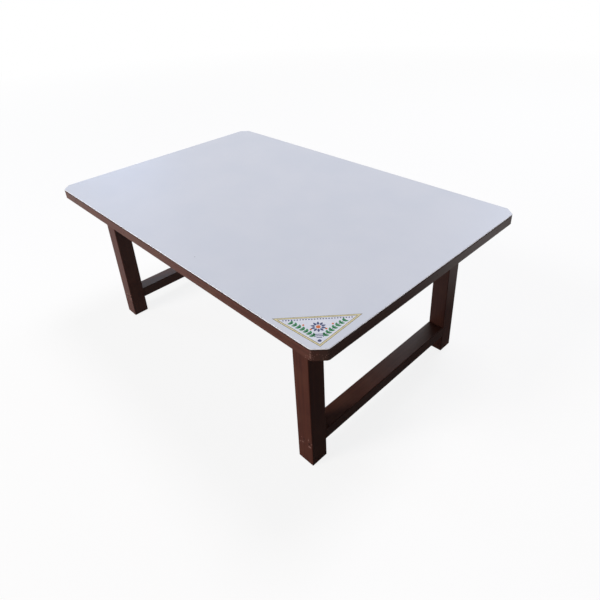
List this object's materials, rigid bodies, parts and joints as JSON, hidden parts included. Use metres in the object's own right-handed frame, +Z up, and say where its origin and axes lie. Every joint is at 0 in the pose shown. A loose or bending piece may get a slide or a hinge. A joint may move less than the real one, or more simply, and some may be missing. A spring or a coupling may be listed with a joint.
{
  "type": "folding study table",
  "caption": "Low folding table: a white laminated top with cut corners and a brown wooden edge, on wooden leg frames that fold flat under it on sprung steel brackets.",
  "frame": {"origin": "on the floor, under the middle of the top, the legs unfolded", "axes": "+X along the long side of the top, +Y along the short side, +Z up; the near corner with the label is at +X and -Y"},
  "size_m": [0.61, 0.402, 0.251],
  "materials": {
    "laminate": "satin decorative laminate, cool white",
    "board": "pressed fibre board, raw underneath",
    "label": "printed film",
    "stained_wood": "brown stain and lacquer",
    "steel_pin": "headless pins, stained over",
    "filled_nail": "nail heads filled and stained over",
    "zinc_steel": "pressed steel, zinc plated",
    "spring_steel": "hardened strip, oiled"
  },
  "bodies": {
    "top": {"top_laminate": "laminate", "core_board": "board", "corner_label": "label", "front_lipping": "stained_wood", "back_lipping": "stained_wood", "left_lipping": "stained_wood", "right_lipping": "stained_wood", "lipping_pins": "steel_pin", "bracket_screws": "zinc_steel", "spring_rivets": "zinc_steel", "front_left_bracket": "zinc_steel", "front_left_spring": "spring_steel", "front_left_pivot_pin": "zinc_steel", "front_right_bracket": "zinc_steel", "front_right_spring": "spring_steel", "front_right_pivot_pin": "zinc_steel", "back_left_bracket": "zinc_steel", "back_left_spring": "spring_steel", "back_left_pivot_pin": "zinc_steel", "back_right_bracket": "zinc_steel", "back_right_spring": "spring_steel", "back_right_pivot_pin": "zinc_steel"},
    "left_frame": {"front_left_leg": "stained_wood", "front_left_shoe": "zinc_steel", "back_left_leg": "stained_wood", "back_left_shoe": "zinc_steel", "left_stretcher": "stained_wood", "left_shoe_screws": "zinc_steel", "left_stretcher_nails": "filled_nail"},
    "right_frame": {"front_right_leg": "stained_wood", "front_right_shoe": "zinc_steel", "back_right_leg": "stained_wood", "back_right_shoe": "zinc_steel", "right_stretcher": "stained_wood", "right_shoe_screws": "zinc_steel", "right_stretcher_nails": "filled_nail"}
  },
  "joints": [
    {"name": "left_fold", "type": "hinge", "parent": "top", "child": "left_frame", "pos_m": [-0.234, 0, 0.216], "axis": [0, -1, 0], "range_deg": [0, 90], "deforming": ["front_left_spring", "back_left_spring"]},
    {"name": "right_fold", "type": "hinge", "parent": "top", "child": "right_frame", "pos_m": [0.234, 0, 0.216], "axis": [0, 1, 0], "range_deg": [0, 90], "deforming": ["front_right_spring", "back_right_spring"]}
  ]
}
